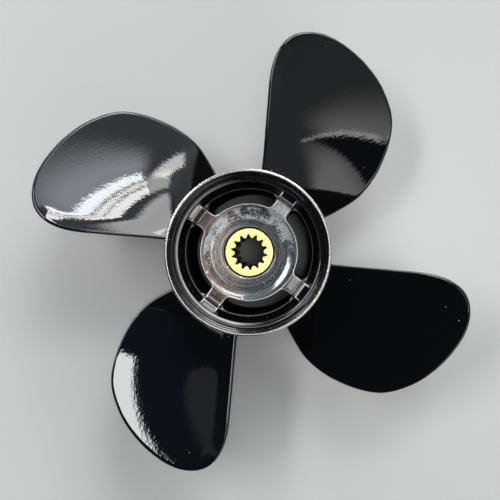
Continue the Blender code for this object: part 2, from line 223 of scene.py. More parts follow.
def bladeFaces(plan, edgeDistance, trailing):  # the aft and fore points over each plan point
    radius = np.hypot(plan[:, 0], plan[:, 1])
    share = np.clip((radius - blade["barrelRadius"]) / (blade["tipRadius"] - blade["barrelRadius"]), 0, 1)
    edge = blade["edgeThickness"]
    tip = blade["tipThickness"]
    full = tip + (blade["rootThickness"] - tip) * (1 - share) ** blade["taper"]
    inward = np.clip(edgeDistance / blade["bellyWidth"], 0, 1)
    thick = edge + (full - edge) * (1 - (1 - inward) ** 2)
    roundness = np.sqrt(1 - (1 - np.clip(edgeDistance / blade["edgeWidth"], 0, 1)) ** 2)
    toTrailing = distanceTo(plan, trailing)
    cup = blade["cup"] * np.clip(1 - toTrailing / blade["cupWidth"], 0, 1) ** 2
    extra = rootFillet(radius)
    aft = cup - edge / 2 * (1 - roundness) + extra
    fore = cup - edge / 2 - (thick - edge / 2) * roundness - extra
    return onScrew(plan, aft), onScrew(plan, fore)


def bladeMesh():
    lead = smoothCurve(blade["leadingEdge"], None, blade["tipEdge"][1])
    tip = smoothCurve(blade["tipEdge"], blade["leadingEdge"][-2], blade["trailingEdge"][1])
    trail = smoothCurve(blade["trailingEdge"], blade["tipEdge"][-2], None)
    span, chord = blade["spanSteps"], blade["chordSteps"]
    outline = np.concatenate([evenly(lead, span), evenly(tip, chord)[1:], evenly(trail, span)[1:]])
    trailing = outline[span + chord :]
    tangent = np.gradient(outline, axis=0)
    tangent /= np.linalg.norm(tangent, axis=1)[:, None]
    inside = np.stack([-tangent[:, 1], tangent[:, 0]], axis=1)
    arcSteps = blade["roundingSteps"]
    steps = [blade["edgeWidth"] * (1 - math.cos(math.pi / 2 * k / arcSteps)) for k in range(arcSteps + 1)]
    steps += [steps[-1] + reach for reach in blade["rimRings"]]
    rings = [outline + inside * step for step in steps]
    ringPlan = np.concatenate(rings)
    ringDistance = np.repeat(steps, len(outline))

    # The rest of the blade is a patch stretched between the innermost ring and an arc at the root
    inner = rings[-1]
    left, top = inner[: span + 1], inner[span : span + chord + 1]
    right = inner[span + chord :][::-1]
    ends = [np.degrees(np.arctan2(p[1], p[0])) for p in (inner[0], inner[-1])]
    rootRadius = [np.hypot(*inner[0]), np.hypot(*inner[-1])]
    s = np.linspace(0, 1, chord + 1)[None, :, None]
    t = np.linspace(0, 1, span + 1)[:, None, None]
    bottom = polar(np.linspace(*rootRadius, chord + 1), np.linspace(*ends, chord + 1))[None]
    patch = (1 - s) * left[:, None] + s * right[:, None] + (1 - t) * bottom + t * top[None]
    patch -= (1 - t) * ((1 - s) * left[0] + s * right[0]) + t * ((1 - s) * left[-1] + s * right[-1])
    patchPlan = patch.reshape(-1, 2)
    patchDistance = distanceTo(patchPlan, outline)

    plan = np.concatenate([ringPlan, patchPlan])
    distance = np.concatenate([ringDistance, patchDistance])
    aft, fore = bladeFaces(plan, distance, trailing)

    count = len(outline)
    oneSide = []
    for k in range(len(rings) - 1):
        for i in range(count - 1):
            a = k * count + i
            oneSide.append((a, a + 1, a + 1 + count, a + count))
    start = len(ringPlan)
    for j in range(span):
        for i in range(chord):
            a = start + j * (chord + 1) + i
            oneSide.append((a, a + chord + 1, a + chord + 2, a + 1))
    other = len(plan)
    faces = oneSide + [tuple(i + other for i in face[::-1]) for face in oneSide]
    rootRow = [k * count for k in range(len(rings) - 1)] + [start + i for i in range(chord + 1)]
    rootRow += [k * count + count - 1 for k in range(len(rings) - 2, -1, -1)]
    faces += [(a, b, b + other, a + other) for a, b in zip(rootRow[1:-1], rootRow[2:-1])]
    faces += [(rootRow[0], rootRow[1], rootRow[1] + other), (rootRow[-1], rootRow[-2] + other, rootRow[-2])]
    return cleanMesh("blade", np.concatenate([aft, fore]), faces)


say("blades")
bladeSkin = bladeMesh()
blades = []
for k in range(bladeCount):
    mesh = rotatedCopy(bladeSkin, 360 * k / bladeCount)
    blades.append(seat(linkPiece(f"cast_blade_{k + 1}", mesh), "casting", f"blade_{k + 1}"))

# Barrel and flare: one casting, turned inside

barrel = {
    "frontRadius": 35.4 * mm,
    "waistRadius": 36.7 * mm,
    "waistHeight": 50 * mm,
    "backRadius": 37.7 * mm,
    "backHeight": 73.4 * mm,
    "bore": 31.9 * mm,
    "boreHeight": 67.5 * mm,  # above this the bore opens out as a cone
    "shoulderRadius": 35.3 * mm,
    "shoulderHeight": 78.4 * mm,
    "crease": 40,  # edges sharper than this stay crisp
}
flare = {
    "radius": 41 * mm,
    "top": 87.2 * mm,
    "lip": 1.92 * mm,
    "crease": 60,
    "steps": 360,
}


def coneRadius(height):  # of the cone that opens out from the bore to the shoulder
    share = (height - barrel["boreHeight"]) / (barrel["shoulderHeight"] - barrel["boreHeight"])
    return barrel["bore"] + share * (barrel["shoulderRadius"] - barrel["bore"])


def barrelCorners():
    back = barrel["backHeight"]
    return [
        (barrel["backRadius"], back, 0),
        (barrel["waistRadius"], barrel["waistHeight"], 16.7 * mm),
        (barrel["frontRadius"], 0, 1 * mm),
        (barrel["bore"], 0, 0.417 * mm),
        (barrel["bore"], barrel["boreHeight"], 2.5 * mm),
        (coneRadius(back), back, 0),
    ]


def flareCorners():
    top, radius, lip = flare["top"], flare["radius"], flare["lip"]
    bottom = barrel["backHeight"]
    mouth = radius - lip
    shoulder, ledge = barrel["shoulderRadius"], barrel["shoulderHeight"]
    return [
        (coneRadius(bottom), bottom, 0),
        (shoulder - 0.0834 * mm, ledge - 0.417 * mm, 0.167 * mm),
        (shoulder + 0.417 * mm, ledge + 0.5 * mm, 0.292 * mm),
        (shoulder + 1 * mm, ledge + 0.667 * mm, 0.25 * mm),
        (shoulder + 1.42 * mm, top - 5.17 * mm, 0.208 * mm),
        (shoulder + 1.92 * mm, top - 4.67 * mm, 0.208 * mm),
        (mouth - 1.33 * mm, top - 2.84 * mm, 0.167 * mm),
        (mouth - 0.834 * mm, top - 2.59 * mm, 0.167 * mm),
        (mouth - 0.5 * mm, top - 1.83 * mm, 0.167 * mm),
        (mouth + 0.0834 * mm, top - 1.58 * mm, 0.125 * mm),
        (mouth + 0.167 * mm, top, 0.792 * mm),
        (radius, top, 0.792 * mm),
        (radius - 0.167 * mm, top - 3.5 * mm, 2.08 * mm),
        (radius - 1.83 * mm, top - 7.51 * mm, 5 * mm),
        (barrel["backRadius"] + 0.25 * mm, bottom + 2.08 * mm, 5 * mm),
        (barrel["backRadius"], bottom, 0),
    ]


say("barrel and flare")
barrelMesh = turnedMesh("cast_barrel", barrelCorners(), crease=barrel["crease"])
barrelPiece = seat(linkPiece("cast_barrel", barrelMesh), "casting", "barrel")
flareMesh = turnedMesh("turned_flare", flareCorners()[::-1], steps=flare["steps"], crease=flare["crease"])
flarePiece = seat(linkPiece("turned_flare", flareMesh), "casting", "flare_ring")

# Inner hub: a dished face with four arms, ledges over their ends, and the tube and ribs below

hub = {
    "radius": 24.6 * mm,
    "front": 8.34 * mm,
    "back": 69.2 * mm,
    "faceBore": 12.9 * mm,
    "boreTop": 67.0 * mm,
    "dish": [(19.6 * mm, 0.2 * mm, 2.5 * mm), (22.3 * mm, 1.0 * mm, 1.5 * mm)],  # radius, rise, rounding
    "socket": 18.8 * mm,
    "ribWidth": 8.84 * mm,
    "ribFillet": 2.84 * mm,
    "ribFront": 13.3 * mm,
    "ribEnd": 30.2 * mm,
    "ribAngle": 45,
    "ledgeRadius": 31.8 * mm,
    "ledgeTop": 75.9 * mm,
    "ledgeBottom": 60 * mm,
    "split": 56.7 * mm,  # underside of the face
    "intoBarrel": 1.25 * mm,  # arms and ribs run this far past the bore's wall
    "intoShoulder": 1 * mm,  # ledges run this far past the shoulder
    "armOverlap": 0.3 * mm,
    "ribOverlap": 2 * mm,
    "tubeOverlap": 1.67 * mm,
    "faceVoxel": 0.35 * mm,
    "faceSoftening": 6,
    "tubeVoxel": 0.667 * mm,
    "tubeSoftening": 4,
}


def armOutline(overlap, flared=True):  # an arm's plan along +X, filleted at the hub and, if flared, the barrel
    half, fillet = hub["ribWidth"] / 2, hub["ribFillet"]
    arcSteps, hubSteps = 8, 6
    middleY = half + fillet
    points = []
    inner, outer = hub["radius"] + fillet, barrel["bore"] - fillet
    innerX, outerX = math.sqrt(inner**2 - middleY**2), math.sqrt(outer**2 - middleY**2)
    innerStart = math.atan2(middleY, innerX) + math.pi
    outerEnd = math.atan2(middleY, outerX)
    for k in range(arcSteps + 1):
        angle = innerStart + (1.5 * math.pi - innerStart) * k / arcSteps
        points.append((innerX + fillet * math.cos(angle), middleY + fillet * math.sin(angle)))
    for k in range(arcSteps + 1 if flared else 0):
        angle = -math.pi / 2 + (outerEnd + math.pi / 2) * k / arcSteps
        points.append((outerX + fillet * math.cos(angle), middleY + fillet * math.sin(angle)))
    spread = math.degrees(math.atan2(points[0][1], points[0][0]))
    inside = [tuple(polar(hub["radius"] - overlap, spread * k / hubSteps)) for k in range(1, hubSteps + 1)]
    points = inside + points + [(barrel["bore"] + hub["intoBarrel"], points[-1][1])]
    return [(x, -y) for x, y in points] + points[::-1] + [(hub["radius"] - overlap, 0)]


def merged(name, meshes, voxel, softening):  # overlapping closed meshes as one skin, its corners softened
    shape = bmesh.new()
    for mesh in meshes:
        shape.from_mesh(mesh)
    mesh = bpy.data.meshes.new(name)
    shape.to_mesh(mesh)
    shape.free()
    piece = linkPiece(name, mesh)
    remesh = piece.modifiers.new("skin", "REMESH")
    remesh.mode = "VOXEL"
    remesh.voxel_size = voxel
    soften = piece.modifiers.new("soften", "SMOOTH")
    soften.factor = 0.5
    soften.iterations = softening
    bpy.context.view_layer.update()
    graph = bpy.context.evaluated_depsgraph_get()
    skin = bpy.data.meshes.new_from_object(piece.evaluated_get(graph))
    piece.modifiers.clear()
    piece.data = skin
    skin.shade_smooth()
    return piece


def ledgeMesh():  # over the outer end of an arm, running into the barrel's wall
    half = hub["ribWidth"] / 2
    side = [
        (hub["ribEnd"], hub["back"] - 1.25 * mm),
        (hub["ribEnd"] + 0.25 * mm, hub["back"] + 0.834 * mm),
        (hub["ledgeRadius"], hub["ledgeTop"] - 0.2 * mm),
        (barrel["shoulderRadius"] + hub["intoShoulder"], hub["ledgeTop"] + 0.2 * mm),
        (barrel["shoulderRadius"] + hub["intoShoulder"], hub["ledgeBottom"]),
        (hub["ribEnd"], hub["ledgeBottom"]),
    ]
    count = len(side)
    points = [(x, -half, z) for x, z in side] + [(x, half, z) for x, z in side]
    faces = [(i, (i + 1) % count, (i + 1) % count + count, i + count) for i in range(count)]
    faces += [tuple(range(count)), tuple(range(2 * count - 1, count - 1, -1))]
    return cleanMesh("ledge", points, faces)


def hubFaceParts():
    top, low = hub["back"], hub["boreTop"]
    dish = [
        (hub["radius"], top, 0.2 * mm),
        (hub["radius"], hub["split"], 0),
        (hub["faceBore"], hub["split"], 0),
        (hub["faceBore"], low - 0.5 * mm, 0.2 * mm),
        (hub["faceBore"] + 0.6 * mm, low, 0.3 * mm),
    ]
    dish += [(radius, low + rise, rounding) for radius, rise, rounding in hub["dish"]]
    arm = prismMesh("arm", armOutline(hub["armOverlap"], flared=False), hub["split"], top)
    armFoot = prismMesh("arm_foot", armOutline(hub["armOverlap"]), hub["split"], barrel["boreHeight"])
    parts = [turnedMesh("dish", dish)]
    for k in range(bladeCount):
        turn = hub["ribAngle"] + 360 * k / bladeCount
        parts += [rotatedCopy(arm, turn), rotatedCopy(armFoot, turn), rotatedCopy(ledgeMesh(), turn)]
    return parts


def hubTubeParts():
    top = hub["split"] + hub["tubeOverlap"]
    tube = [
        (hub["radius"], top, 0),
        (hub["radius"], hub["front"], 0.834 * mm),
        (hub["socket"], hub["front"], 0.834 * mm),
        (hub["socket"], top, 0),
    ]
    rib = prismMesh("rib", armOutline(hub["ribOverlap"]), hub["ribFront"], top)
    parts = [turnedMesh("tube", tube)]
    parts += [rotatedCopy(rib, hub["ribAngle"] + 360 * k / bladeCount) for k in range(bladeCount)]
    return parts


say("inner hub")
hubFace = merged("cast_hub_face", hubFaceParts(), hub["faceVoxel"], hub["faceSoftening"])
ribNodes = [f"rib_{k + 1}" for k in range(bladeCount)] + [f"ledge_{k + 1}" for k in range(bladeCount)]
seat(hubFace, "casting", *ribNodes)
hubTube = merged("cast_hub_tube", hubTubeParts(), hub["tubeVoxel"], hub["tubeSoftening"])
seat(hubTube, "casting", "inner_hub")

# Rubber bushing and brass sleeve

sleeve = {
    "radius": 12.2 * mm,
    "front": 5.84 * mm,
    "back": 64.6 * mm,
    "sides": 168,
    "teeth": 14,
    "inner": 7.34 * mm,
    "outer": 9.17 * mm,
    "phase": 7.3,
    "mouthShare": 0.62,  # width of a notch at its mouth and at its floor, as a share of the pitch
    "floorShare": 0.16,
    "weld": 0.00167 * mm,
    "flatAngle": 1,  # joints between faces flatter than this are removed
    "bevel": 0.25 * mm,
    "bevelAngle": 25,
    "crease": 40,
}
rubber = {
    "front": 10.8 * mm,
    "top": 56.5 * mm,
    "gap": 0.25 * mm,
    "crease": 40,
}


def sleeveMesh():
    pitch = 360 / sleeve["teeth"]
    inner, outer = sleeve["inner"], sleeve["outer"]
    mouth, bottom = sleeve["mouthShare"], sleeve["floorShare"]
    notch = [(inner, -mouth), (outer, -bottom), (outer, bottom), (inner, mouth)]
    inside = []
    for k in range(sleeve["teeth"]):
        middle = sleeve["phase"] + k * pitch
        inside += [polar(radius, middle + share * pitch / 2) for radius, share in notch]
    sides = sleeve["sides"]
    outside = [polar(sleeve["radius"], sleeve["phase"] + 360 * k / sides) for k in range(sides)]
    curve = bpy.data.curves.new("sleeve", "CURVE")
    curve.dimensions = "2D"
    curve.fill_mode = "BOTH"
    curve.extrude = (sleeve["back"] - sleeve["front"]) / 2
    for outline in (outside, inside):
        spline = curve.splines.new("POLY")
        spline.points.add(len(outline) - 1)
        for point, corner in zip(spline.points, outline):
            point.co = (corner[0], corner[1], 0, 1)
        spline.use_cyclic_u = True
    piece = linkPiece("sleeve_curve", curve)
    bpy.context.view_layer.update()
    graph = bpy.context.evaluated_depsgraph_get()
    mesh = bpy.data.meshes.new_from_object(piece.evaluated_get(graph))
    bpy.data.objects.remove(piece, do_unlink=True)
    mesh.transform(Matrix.Translation((0, 0, (sleeve["back"] + sleeve["front"]) / 2)))
    shape = bmesh.new()
    shape.from_mesh(mesh)
    bmesh.ops.remove_doubles(shape, verts=shape.verts, dist=sleeve["weld"])
    flat = math.radians(sleeve["flatAngle"])
    bmesh.ops.dissolve_limit(shape, angle_limit=flat, verts=shape.verts, edges=shape.edges)
    shape.to_mesh(mesh)
    shape.free()
    return mesh


say("sleeve and bushing")
sleevePiece = seat(linkPiece("brass_sleeve", sleeveMesh()), "sleeve", "splined_sleeve")
bevel = sleevePiece.modifiers.new("edges", "BEVEL")
bevel.width = sleeve["bevel"]
bevel.segments = 2
bevel.limit_method = "ANGLE"
bevel.angle_limit = math.radians(sleeve["bevelAngle"])
sleevePiece.data.shade_smooth()
sleevePiece.data.set_sharp_from_angle(angle=math.radians(sleeve["crease"]))

rubberCorners = [
    (hub["socket"] - rubber["gap"], rubber["top"], 0),
    (hub["socket"] - rubber["gap"], rubber["front"], 1.25 * mm),
    (sleeve["radius"] + rubber["gap"], rubber["front"], 0.667 * mm),
    (sleeve["radius"] + rubber["gap"], rubber["top"], 0),
]
rubberMesh = turnedMesh("rubber_ring", rubberCorners, crease=rubber["crease"])
rubberPiece = seat(linkPiece("rubber_ring", rubberMesh), "bushing", "rubber_bushing")

# Finishes

def newFinish(name):
    material = bpy.data.materials.new(name)
    material.use_nodes = True
    tree = material.node_tree
    return material, tree, tree.nodes["Principled BSDF"]


def addNode(tree, kind, operation=None):
    node = tree.nodes.new(kind)
    if operation:
        node.operation = operation
    return node


def setInputs(node, values):  # constants on the node's own sockets
    for name, value in values.items():
        node.inputs[name].default_value = value


def setNormals(tree, shader, normal):  # on the base and on the coat
    for name in ("Normal", "Coat Normal"):
        tree.links.new(normal, shader.inputs[name])


def objectPlace(tree):
    return addNode(tree, "ShaderNodeTexCoord").outputs["Object"]


def axisOf(tree, place, name):
    parts = addNode(tree, "ShaderNodeSeparateXYZ")
    tree.links.new(place, parts.inputs["Vector"])
    return parts.outputs[name]


def grain(tree, place, scale, detail=2.0, roughness=0.5):  # uneven values from 0 to 1
    texture = addNode(tree, "ShaderNodeTexNoise")
    setInputs(texture, {"Scale": scale, "Detail": detail, "Roughness": roughness})
    tree.links.new(place, texture.inputs["Vector"])
    return texture.outputs["Fac"]


def bump(tree, raised, distance, under=None):
    node = addNode(tree, "ShaderNodeBump")
    setInputs(node, {"Distance": distance})
    tree.links.new(raised, node.inputs["Height"])
    if under is not None:
        tree.links.new(under, node.inputs["Normal"])
    return node.outputs["Normal"]


def ramp(tree, value, low, high, toLow=0.0, toHigh=1.0):  # smooth change between two values
    node = addNode(tree, "ShaderNodeMapRange")
    node.interpolation_type = "SMOOTHSTEP"
    setInputs(node, {"From Min": low, "From Max": high, "To Min": toLow, "To Max": toHigh})
    tree.links.new(value, node.inputs["Value"])
    return node.outputs["Result"]


def combine(tree, operation, *values):
    total = values[0]
    for value in values[1:]:
        node = addNode(tree, "ShaderNodeMath", operation)
        tree.links.new(total, node.inputs[0])
        tree.links.new(value, node.inputs[1])
        total = node.outputs["Value"]
    return total


def mixColours(tree, share, first, second):
    node = addNode(tree, "ShaderNodeMix")
    node.data_type = "RGBA"
    tree.links.new(share, node.inputs["Factor"])
    for socket, colour in ((node.inputs["A"], first), (node.inputs["B"], second)):
        if isinstance(colour, tuple):
            socket.default_value = (*colour, 1)
        else:
            tree.links.new(colour, socket)
    return node.outputs["Result"]


def shaftRadius(tree, place):  # each point's distance from the shaft's axis
    flat = addNode(tree, "ShaderNodeVectorMath", "MULTIPLY")
    flat.inputs[1].default_value = (1, 1, 0)
    tree.links.new(place, flat.inputs[0])
    length = addNode(tree, "ShaderNodeVectorMath", "LENGTH")
    tree.links.new(flat.outputs["Vector"], length.inputs[0])
    return length.outputs["Value"]


speck = {
    "size": (0.16, 0.08),  # distance from a cell's middle where a spot begins, and where it is full
    "blur": 0.002,
    "faintest": 0.25,
}


def specks(tree, place, scale, share):  # small round spots in this share of the cells
    cells = addNode(tree, "ShaderNodeTexVoronoi")
    setInputs(cells, {"Scale": scale})
    tree.links.new(place, cells.inputs["Vector"])
    chance = addNode(tree, "ShaderNodeSeparateColor")
    tree.links.new(cells.outputs["Color"], chance.inputs["Color"])
    near = ramp(tree, cells.outputs["Distance"], *speck["size"])
    chosen = ramp(tree, chance.outputs["Red"], share + speck["blur"], share - speck["blur"])
    faint = ramp(tree, chance.outputs["Green"], 0.0, 1.0, speck["faintest"], 1.0)
    return combine(tree, "MULTIPLY", near, chosen, faint)


# In the finishes, a pair of values is where a change begins and ends, and two more are what it changes between

cone = {
    "dustColour": (0.50, 0.49, 0.46),
    "dustScale": 750,
    "dustShare": 0.4,
    "dustReach": (34.8 * mm, 34.3 * mm),
    "edgeHighlightColour": (0.17, 0.155, 0.135),  # painted highlight on the rounded edge where the passages open into the cone
    "edgeHighlightStart": (barrel["bore"], barrel["bore"] + 0.1 * mm),
    "edgeHighlightEnd": (barrel["bore"] + 0.5 * mm, barrel["bore"] + 0.2 * mm),
}
paint = {
    "colour": (0.0014, 0.0018, 0.0022),
    "dustColour": (0.42, 0.42, 0.40),
    "dustScale": 350,
    "dustShare": 0.03,
    "waveScale": 90,
    "waveHeight": 0.015 * mm,
    "peelScale": 700,
    "peelHeight": 0.015 * mm,
    "shader": {"Roughness": 0.3, "Specular IOR Level": 0.0, "Coat Weight": 1.0, "Coat Roughness": 0.012},
}


def coneDust(tree, place):
    return specks(tree, place, cone["dustScale"], cone["dustShare"])


def glossPaint(name, dustyConeWithEdgeHighlight=False):
    material, tree, shader = newFinish(name)
    setInputs(shader, paint["shader"])
    place = objectPlace(tree)
    dust = specks(tree, place, paint["dustScale"], paint["dustShare"])
    colour = mixColours(tree, dust, paint["colour"], paint["dustColour"])
    if dustyConeWithEdgeHighlight:
        radius = shaftRadius(tree, place)
        dust = combine(tree, "MULTIPLY", coneDust(tree, place), ramp(tree, radius, *cone["dustReach"]))
        colour = mixColours(tree, dust, colour, cone["dustColour"])
        # a paler band along the edge where the passages open into the cone: a painted highlight
        edgeHighlightStart, edgeHighlightEnd = ramp(tree, radius, *cone["edgeHighlightStart"]), ramp(tree, radius, *cone["edgeHighlightEnd"])
        edge = combine(tree, "MULTIPLY", edgeHighlightStart, edgeHighlightEnd)
        colour = mixColours(tree, edge, colour, cone["edgeHighlightColour"])
    tree.links.new(colour, shader.inputs["Base Color"])
    slow = bump(tree, grain(tree, place, paint["waveScale"]), paint["waveHeight"])
    fine = bump(tree, grain(tree, place, paint["peelScale"]), paint["peelHeight"], slow)
    setNormals(tree, shader, fine)
    return material


passage = {
    "paintColour": (0.003, 0.003, 0.003),
    "sootColour": (0.010, 0.010, 0.010),
    "sootScale": 400,
    "sootHeight": 0.03 * mm,
    "depth": 0.4 * mm,  # faces within this of the barrel's bore are in the passages
    "shader": {"Roughness": 0.8, "Specular IOR Level": 0.1},
}


def dullPaint():  # thin paint and soot inside the passages
    material, tree, shader = newFinish("dull_black_passage")
    setInputs(shader, passage["shader"])
    soot = grain(tree, objectPlace(tree), passage["sootScale"], detail=4.0)
    colour = mixColours(tree, soot, passage["paintColour"], passage["sootColour"])
    tree.links.new(colour, shader.inputs["Base Color"])
    tree.links.new(bump(tree, soot, passage["sootHeight"]), shader.inputs["Normal"])
    return material


castFace = {
    "reach": (30.5 * mm, 30.1 * mm),  # the face and arms show the rough casting out to here and up to the top
    "top": (69.9 * mm, 69.6 * mm),
    "coolColour": (0.115, 0.120, 0.130),
    "warmTintAndReflectionColour": (0.175, 0.120, 0.092),  # warm tint in patches, warmer and lighter toward −X: the side change is a painted reflection
    "cloudScale": 70,
    "warmReflectionSide": (-16 * mm, 8 * mm, 0.25, -0.25),
    "warmTintAndReflectionRange": (0.40, 0.62),
    "darkColour": (0.010, 0.010, 0.011),
    "streakScale": 1100,
    "streakTurn": 0.06,  # how little a streak changes round the shaft
    "fineScale": 2200,
    "fineRange": (0.3, 0.7, -0.12, 0.12),
    "darkRange": (0.36, 0.64, 0.85, 0.0),
    "paleDepositAndReflectionColour": (0.42, 0.43, 0.43),
    "patchScale": 850,
    "bandStart": (16.0 * mm, 18.0 * mm),  # the pale patches form a band round the face
    "bandEnd": (23.6 * mm, 22.4 * mm),
    "paleSide": (-8 * mm, 10 * mm, -0.06, 0.10),
    "broadScale": 120,
    "broadRange": (0.35, 0.65, -0.10, 0.10),
    "paleRange": (0.54, 0.70),
    # the arm towards +X and +Y is painted pale: a painted reflection
    "armReflectionStart": (20.5 * mm, 23.0 * mm),
    "armReflectionSide": (11 * mm, 15 * mm),
    "armReflectionRange": (0.35, 0.55, 0.3, 1.0),
    "edgeHighlightColour": (0.75, 0.75, 0.73),  # painted highlight along the edges of the slots, arms and ledges
    "edgeHighlightRange": (0.51, 0.545, 0.0, 0.9),
    "lumpScale": 380,
    "lumpHeight": 0.035 * mm,
    "shader": {
        "Roughness": 0.5,
        "Specular IOR Level": 0.0,
        "Coat Weight": 1.0,
        "Coat IOR": 1.62,
        "Coat Roughness": 0.08,
    },
}


def radiusOnly(tree, radius, place):  # a place that changes fast outwards and slowly round the shaft
    around = addNode(tree, "ShaderNodeVectorMath", "SCALE")
    setInputs(around, {"Scale": castFace["streakTurn"]})
    tree.links.new(place, around.inputs[0])
    outward = addNode(tree, "ShaderNodeCombineXYZ")
    tree.links.new(radius, outward.inputs["X"])
    both = addNode(tree, "ShaderNodeVectorMath", "ADD")
    tree.links.new(around.outputs["Vector"], both.inputs[0])
    tree.links.new(outward.outputs["Vector"], both.inputs[1])
    return both.outputs["Vector"]


def castFinish():
    material, tree, shader = newFinish("cast_face_paint")
    setInputs(shader, castFace["shader"])
    place = objectPlace(tree)
    radius = shaftRadius(tree, place)
    x, y, z = (axisOf(tree, place, name) for name in "XYZ")
    face = combine(tree, "MULTIPLY", ramp(tree, radius, *castFace["reach"]), ramp(tree, z, *castFace["top"]))

    # random warm and cool tint, pushed warm toward −X and cool toward +X: the side-to-side change is a painted
    # reflection
    cloudsAndReflectionSide = grain(tree, place, castFace["cloudScale"], detail=3.0)
    cloudsAndReflectionSide = combine(tree, "ADD", cloudsAndReflectionSide, ramp(tree, x, *castFace["warmReflectionSide"]))
    warmTintAndReflection = ramp(tree, cloudsAndReflectionSide, *castFace["warmTintAndReflectionRange"])
    colour = mixColours(tree, warmTintAndReflection, castFace["coolColour"], castFace["warmTintAndReflectionColour"])

    streaks = grain(tree, radiusOnly(tree, radius, place), castFace["streakScale"], detail=3.0)
    fine = ramp(tree, grain(tree, place, castFace["fineScale"]), *castFace["fineRange"])
    darker = ramp(tree, combine(tree, "ADD", streaks, fine), *castFace["darkRange"])
    colour = mixColours(tree, darker, colour, castFace["darkColour"])

    patches = grain(tree, place, castFace["patchScale"], detail=6.0, roughness=0.7)
    upper = ramp(tree, y, *castFace["paleSide"])
    lift = ramp(tree, grain(tree, place, castFace["broadScale"], detail=1.0), *castFace["broadRange"])
    bandStart, bandEnd = ramp(tree, radius, *castFace["bandStart"]), ramp(tree, radius, *castFace["bandEnd"])
    bare = ramp(tree, combine(tree, "ADD", patches, upper, lift), *castFace["paleRange"])
    pale = combine(tree, "MULTIPLY", bandStart, bandEnd, bare)

    # The arm towards +X and +Y is painted pale in patches: a painted reflection
    sides = [ramp(tree, axis, *castFace["armReflectionSide"]) for axis in (x, y)]
    patchy = ramp(tree, patches, *castFace["armReflectionRange"])
    armReflection = combine(tree, "MULTIPLY", ramp(tree, radius, *castFace["armReflectionStart"]), *sides, patchy)
    colour = mixColours(tree, combine(tree, "MAXIMUM", pale, armReflection), colour, castFace["paleDepositAndReflectionColour"])
    colour = mixColours(tree, face, paint["colour"], colour)

    # sharp edges of the face, arms and ledges are painted pale: a painted highlight
    sharpness = addNode(tree, "ShaderNodeNewGeometry").outputs["Pointiness"]
    colour = mixColours(tree, ramp(tree, sharpness, *castFace["edgeHighlightRange"]), colour, castFace["edgeHighlightColour"])
    tree.links.new(colour, shader.inputs["Base Color"])
    lumps = grain(tree, place, castFace["lumpScale"], detail=4.0, roughness=0.6)
    setNormals(tree, shader, bump(tree, combine(tree, "MULTIPLY", lumps, face), castFace["lumpHeight"]))
    return material


turnedRim = {
    "bareLipAndShoulderHighlightColour": (0.42, 0.41, 0.39),
    "lipTop": (85.8 * mm, 86.2 * mm),  # above this and outside the next the lip is bare turned metal
    "lipSide": (39.6 * mm, 39.8 * mm),
    "shoulderHighlightStart": (35.05 * mm, 35.2 * mm),
    "shoulderHighlightEnd": (36.5 * mm, 35.4 * mm),
    "shoulderHighlightSide": (4 * mm, -16 * mm, 0.05, 0.90),  # the shoulder's painted highlight is stronger on one side
    "lines": {"Scale": 620, "Distortion": 0.6, "Detail Scale": 3.0},  # turned lines, about 0.5 mm apart
    "lineHeight": 0.012 * mm,
    "shader": {"Roughness": 0.22, "Specular IOR Level": 0.0, "Coat Weight": 1.0, "Coat Roughness": 0.03},
}


def rimFinish():
    material, tree, shader = newFinish("turned_rim")
    setInputs(shader, turnedRim["shader"])
    place = objectPlace(tree)
    radius = shaftRadius(tree, place)
    x, z = (axisOf(tree, place, name) for name in "XZ")
    lipTop, lipSide = ramp(tree, z, *turnedRim["lipTop"]), ramp(tree, radius, *turnedRim["lipSide"])
    lip = combine(tree, "MULTIPLY", lipTop, lipSide)
    # a pale band painted on the shoulder, stronger toward −X: a painted highlight; the lip is bare metal
    start = ramp(tree, radius, *turnedRim["shoulderHighlightStart"])
    end = ramp(tree, radius, *turnedRim["shoulderHighlightEnd"])
    shoulder = combine(tree, "MULTIPLY", start, end, ramp(tree, x, *turnedRim["shoulderHighlightSide"]))
    colour = mixColours(tree, coneDust(tree, place), paint["colour"], cone["dustColour"])
    colour = mixColours(tree, combine(tree, "MAXIMUM", lip, shoulder), colour, turnedRim["bareLipAndShoulderHighlightColour"])
    tree.links.new(colour, shader.inputs["Base Color"])
    tree.links.new(lip, shader.inputs["Metallic"])
    lines = addNode(tree, "ShaderNodeTexWave")
    lines.wave_type = "RINGS"
    lines.rings_direction = "Z"
    setInputs(lines, turnedRim["lines"])
    tree.links.new(place, lines.inputs["Vector"])
    setNormals(tree, shader, bump(tree, lines.outputs["Fac"], turnedRim["lineHeight"]))
    return material


brass = {
    "faceColour": (0.86, 0.71, 0.31),
    "boreColour": (0.035, 0.028, 0.016),  # greased and dull inside the bore
    "boreTop": (64.3 * mm, 63.3 * mm),
    "boreFront": (5.9 * mm, 6.9 * mm),
    "boreSide": (9.6 * mm, 9.4 * mm),
    "scratchScale": 900,
    "scratchRange": (0.3, 0.7, 0.26, 0.42),
    "shader": {"Specular IOR Level": 0.2},
}


def brassFinish():
    material, tree, shader = newFinish("pale_brass")
    setInputs(shader, brass["shader"])
    place = objectPlace(tree)
    z = axisOf(tree, place, "Z")
    top, front = ramp(tree, z, *brass["boreTop"]), ramp(tree, z, *brass["boreFront"])
    inBore = combine(tree, "MULTIPLY", top, front, ramp(tree, shaftRadius(tree, place), *brass["boreSide"]))
    colour = mixColours(tree, inBore, brass["faceColour"], brass["boreColour"])
    tree.links.new(colour, shader.inputs["Base Color"])
    tree.links.new(ramp(tree, inBore, 1.0, 0.0), shader.inputs["Metallic"])
    scratches = grain(tree, place, brass["scratchScale"], detail=3.0)
    tree.links.new(ramp(tree, scratches, *brass["scratchRange"]), shader.inputs["Roughness"])
    return material


